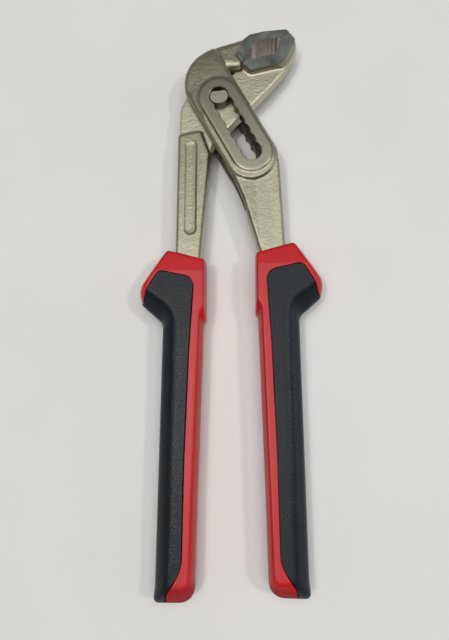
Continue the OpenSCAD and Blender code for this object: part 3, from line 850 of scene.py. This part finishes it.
def grip_sleeve():
    sleeve = grip_form("grip_sleeve", SLEEVE_HALF)
    machined(sleeve, blank("inlay_room", widened(rounded(INLAY_AREA), GROOVE_OUT), [(0, THROUGH)]))
    machined(sleeve, blank("lip_room", widened(rounded(END_LIP), LIP_ROOM), [(0, LIP_HALF + LIP_ROOM)]))
    return machined(sleeve, grip_core(), "UNION")


def grip_inlay():
    inlay = grip_form("grip_inlay", INLAY_HALF)
    area = blank("inlay_area", widened(rounded(INLAY_AREA), GROOVE_IN), [(0, THROUGH)])
    machined(area, blank("end_lip", rounded(END_LIP), [(0, LIP_HALF)]), "UNION")
    machined(inlay, area, "INTERSECT")
    return machined(inlay, grip_core(CORE_ROOM))


def arm_socket(name, arm_edge):
    """The hole that an arm fills in the top of its sleeve."""
    return blank(name, widened(rounded(arm_edge), SOCKET_ROOM),
                 [(0, ARM_HALF * 0.5), (0.3, ARM_HALF * 0.35), (0.5, ARM_HALF * 0.15 + 0.15)])


def grips():
    sleeve, inlay = grip_sleeve(), grip_inlay()
    places = {
        "right": (Matrix.Translation((25.45 * MM, -67 * MM, 0)) @ Matrix.Rotation(radians(1.7), 4, "Z"),
                  "slotted_side",
                  [(17.4, -60), (18.5, -74), (18.6, -77), (30.1, -77), (30.0, -73), (29.6, -60)], RIGHT_TANG),
        "left": (Matrix.Translation((-14.4 * MM, -70 * MM, 0)) @ Matrix.Rotation(radians(-0.5), 4, "Z")
                 @ Matrix.Scale(-1, 4, (1, 0, 0)),
                 "inner_side",
                 [(-19.1, -62), (-19.1, -74), (-19.2, -79.5), (-7.3, -79.5), (-7.1, -74), (-6.2, -62)], LEFT_TANG),
    }
    for side, (place, body, arm_edge, tang) in places.items():
        for kind, model, slot, material in (("sleeve", sleeve, "hard_plastic", RED),
                                            ("inlay", inlay, "soft_rubber", BLACK)):
            piece = model.copy()
            piece.data = model.data.copy()
            piece.name = f"{side}_grip_{kind}_moulding"
            piece.data.name = piece.name
            bpy.context.scene.collection.objects.link(piece)
            piece.data.transform(place)
            if place.determinant() < 0:
                piece.data.flip_normals()
            if kind == "sleeve":
                machined(piece, arm_socket("socket", arm_edge))
                machined(piece, blank("tang_room", widened(rounded(tang), TANG_ROOM), [(0, TANG_ROOM_HALF)]))
            dressed(piece, material)
            set_in_place(piece, body, slot, f"{side}_grip_{kind}")
    bpy.data.objects.remove(sleeve)
    bpy.data.objects.remove(inlay)


slotted_lever()
inner_lever()
pivot_pin()
grips()
dressed(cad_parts["pin_snap_ring"], SPRING)


# Table, light and camera

def pale_table():
    # Painted table top: an even pale grey, barely glossy.
    m, place = started("pale_table")
    clouds = add(m, "ShaderNodeTexNoise", {"Scale": 1 / (60 * MM), "Detail": 2.0}, Vector=(place, "Object"))
    tone = add(m, "ShaderNodeValToRGB", {"stops": [(0.3, "#DADAD8"), (0.7, "#DEDEDC")]}, Fac=(clouds, "Fac"))
    shader = add(m, "ShaderNodeBsdfPrincipled", {"Roughness": 0.6, "IOR": 1.45}, Base_Color=(tone, "Color"))
    return ended(m, shader)


TABLE_SIZE = 1.8
bpy.ops.object.select_all(action="DESELECT")
bpy.ops.mesh.primitive_plane_add(size=TABLE_SIZE)
table = bpy.context.object
table.name = "table_top"
dressed(table, pale_table())


def softbox(name, place, target, size, power, colour):
    """A lamp behind a rectangle of cloth, turned to a target."""
    bpy.ops.object.light_add(type="AREA", location=place)
    lamp = bpy.context.object
    lamp.name = name
    lamp.data.shape = "RECTANGLE"
    lamp.data.size, lamp.data.size_y = size
    lamp.data.energy = power
    lamp.data.color = linear(colour)[:3]
    lamp.rotation_euler = (Vector(target) - Vector(place)).to_track_quat("-Z", "Y").to_euler()
    return lamp


softbox("overhead_softbox", (0.0, 0.03, 1.5), (0.0, 0.03, 0), (1.5, 1.66), 16.9, "#FBFCFF")
softbox("right_softbox", (2.4, 0.32, 3.2), (0, 0, 0), (0.32, 0.32), 25, "#FFF6EA")
softbox("left_softbox", (-0.66, -0.1, 2.15), (0, 0, 0), (0.16, 0.16), 8.6, "#FFF6EA")
softbox("right_window", (2.4, 0.1, 0.75), (0, 0, 0), (1.5, 0.7), 9, "#DCE8FF").visible_camera = False


# Strengths of the pale walls and of the dim room above them, and the heights between which they fade
WALL_LEVEL, ROOM_LEVEL = 0.72, 0.11
WALL_TOP, ROOM_START = sin(radians(14)), sin(radians(30))


def studio_world():
    # A dim room whose walls show as pale as the table, low down, to the camera and in the metal
    world = bpy.data.worlds.new("studio")
    world.use_nodes = True
    world.node_tree.nodes.clear()
    direction = add(world, "ShaderNodeTexCoord")
    axes = add(world, "ShaderNodeSeparateXYZ", Vector=(direction, "Generated"))
    wall = add(world, "ShaderNodeMapRange", {"From Min": WALL_TOP, "From Max": ROOM_START,
                                             "To Min": WALL_LEVEL, "To Max": ROOM_LEVEL,
                                             "interpolation_type": "SMOOTHSTEP"}, Value=(axes, "Z"))
    ray = add(world, "ShaderNodeLightPath")
    direct = add(world, "ShaderNodeMath", {"operation": "ADD"}, _0=(ray, "Is Camera Ray"),
                 _1=(ray, "Is Glossy Ray"))
    seen = add(world, "ShaderNodeMath", {"operation": "ADD", "use_clamp": True}, _0=(direct, "Value"),
               _1=(ray, "Is Transmission Ray"))
    level = add(world, "ShaderNodeMix", {"data_type": "FLOAT", "_2": ROOM_LEVEL}, _0=(seen, "Value"),
                _3=(wall, "Result"))
    light = add(world, "ShaderNodeBackground", {"Color": linear("#F7F6F3")}, Strength=(level, 0))
    add(world, "ShaderNodeOutputWorld", Surface=(light, "Background"))
    return world


bpy.context.scene.world = studio_world()

# The camera looks almost straight down, from over the grips, as a hand-held one does. In pixels: the size
# of the picture, the focal length, and the point straight under the camera.
IMAGE = (449, 640)
FOCAL_PX = 503
FOOT_PX = (255, 400)
CAMERA_AT = PIVOT + Vector((16.3, -135.5, 215.5)) * MM
SENSOR_HEIGHT = 36

down = Vector((FOOT_PX[0] - IMAGE[0] / 2, IMAGE[1] / 2 - FOOT_PX[1], -FOCAL_PX)).normalized()
up = -down
ahead = (Vector((0, 1, 0)) - up * up.y).normalized()
side = ahead.cross(up)
lens = bpy.data.cameras.new("photo_camera")
lens.sensor_fit = "VERTICAL"
lens.sensor_height = SENSOR_HEIGHT
lens.lens = FOCAL_PX / IMAGE[1] * SENSOR_HEIGHT
camera = bpy.data.objects.new("photo_camera", lens)
camera.matrix_world = Matrix.Translation(CAMERA_AT) @ Matrix((side, ahead, up)).to_4x4()
bpy.context.scene.collection.objects.link(camera)
bpy.context.scene.camera = camera
bpy.context.scene.view_settings.view_transform = "Standard"
